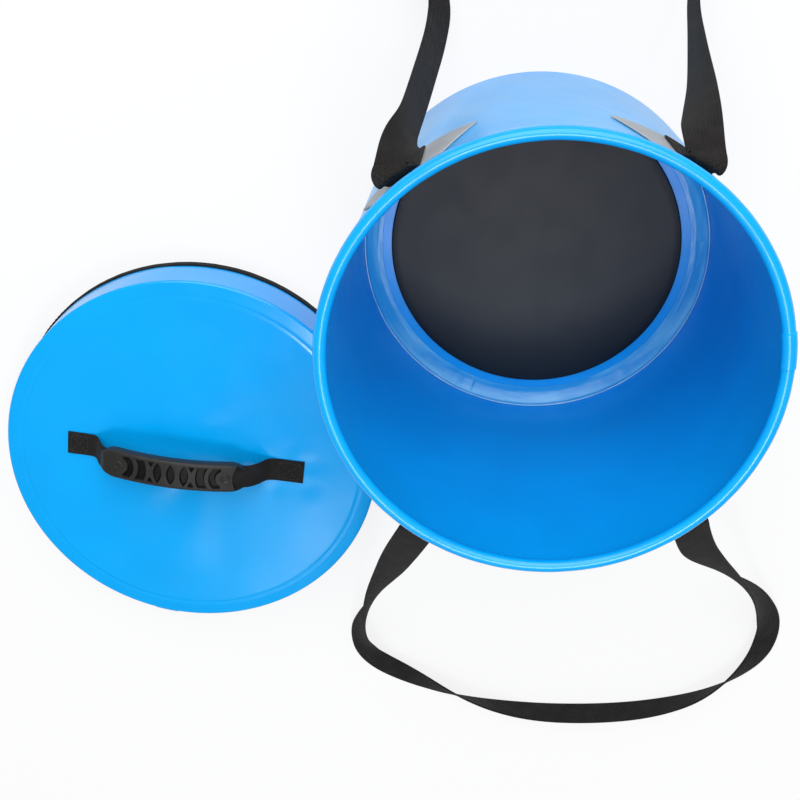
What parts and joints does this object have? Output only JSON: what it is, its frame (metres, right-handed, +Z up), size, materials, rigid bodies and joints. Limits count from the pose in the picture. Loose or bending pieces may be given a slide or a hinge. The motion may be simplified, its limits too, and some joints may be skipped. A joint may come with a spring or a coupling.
{
  "type": "collapsible fishing bucket",
  "caption": "Round collapsible fishing bucket of welded coated sheet with a hooped rim, webbing carry straps and a lift-off lid with a strap handle, shown open with the lid beside it.",
  "frame": {"origin": "centre of the bucket's base, on the floor", "axes": "+Z up along the bucket's axis, -Y towards the front carry strap, -X towards the lid that lies beside the bucket"},
  "size_m": [0.6516, 0.8286, 0.2504],
  "materials": {
    "blue_sheet": "smooth coated sheet, satin gloss",
    "seam_tape": "pale translucent weld tape",
    "dark_pad": "matt dark foam-backed pad",
    "hoop_plastic": "plain tube",
    "grey_patch": "matt coated sheet",
    "black_webbing": "woven webbing",
    "black_binding": "woven tape",
    "core_board": "plain board",
    "grip_plastic": "moulded, fine matt",
    "rivet_plastic": "smooth"
  },
  "bodies": {
    "bucket": {"bucket_wall": "blue_sheet", "base_sheet": "blue_sheet", "corner_seam_band": "seam_tape", "base_pad": "dark_pad"},
    "rim": {"rim_hem": "blue_sheet", "rim_hoop": "hoop_plastic", "hoop_joiner": "hoop_plastic", "strap_patch_front_left": "grey_patch", "strap_patch_front_right": "grey_patch", "strap_patch_rear_left": "grey_patch", "strap_patch_rear_right": "grey_patch", "strap_tab_front_left": "black_webbing", "strap_tab_front_right": "black_webbing", "strap_tab_rear_left": "black_webbing", "strap_tab_rear_right": "black_webbing"},
    "front_strap": {"carry_strap_front": "black_webbing"},
    "rear_strap": {"carry_strap_rear": "black_webbing"},
    "lid": {"lid_top": "blue_sheet", "lid_core": "core_board", "lid_skirt": "blue_sheet", "lid_liner": "blue_sheet", "lid_binding": "black_binding", "lid_handle_tab_left": "black_webbing", "lid_handle_tab_right": "black_webbing"},
    "lid_handle": {"lid_handle_strap": "black_webbing", "lid_grip": "grip_plastic", "grip_rivets": "rivet_plastic"}
  },
  "joints": [
    {"name": "collapse", "type": "slide", "parent": "bucket", "child": "rim", "axis": [0, 0, -1], "range_m": [0, 0.17], "deforming": ["bucket_wall"]},
    {"name": "front_strap_swing", "type": "hinge", "parent": "rim", "child": "front_strap", "pos_m": [0, -0.13492, 0.2323], "axis": [-1, 0, 0], "range_deg": [0, 110]},
    {"name": "rear_strap_swing", "type": "hinge", "parent": "rim", "child": "rear_strap", "pos_m": [0, 0.13492, 0.2323], "axis": [1, 0, 0], "range_deg": [0, 110]},
    {"name": "lid_lift", "type": "slide", "parent": "bucket", "child": "lid", "axis": [0, 0, 1], "range_m": [0, 0.3]},
    {"name": "lid_handle_swing", "type": "hinge", "parent": "lid", "child": "lid_handle", "pos_m": [-0.28807, -0.15706, 0.055], "axis": [0.9848, -0.1736, 0], "range_deg": [-55, 55]}
  ]
}
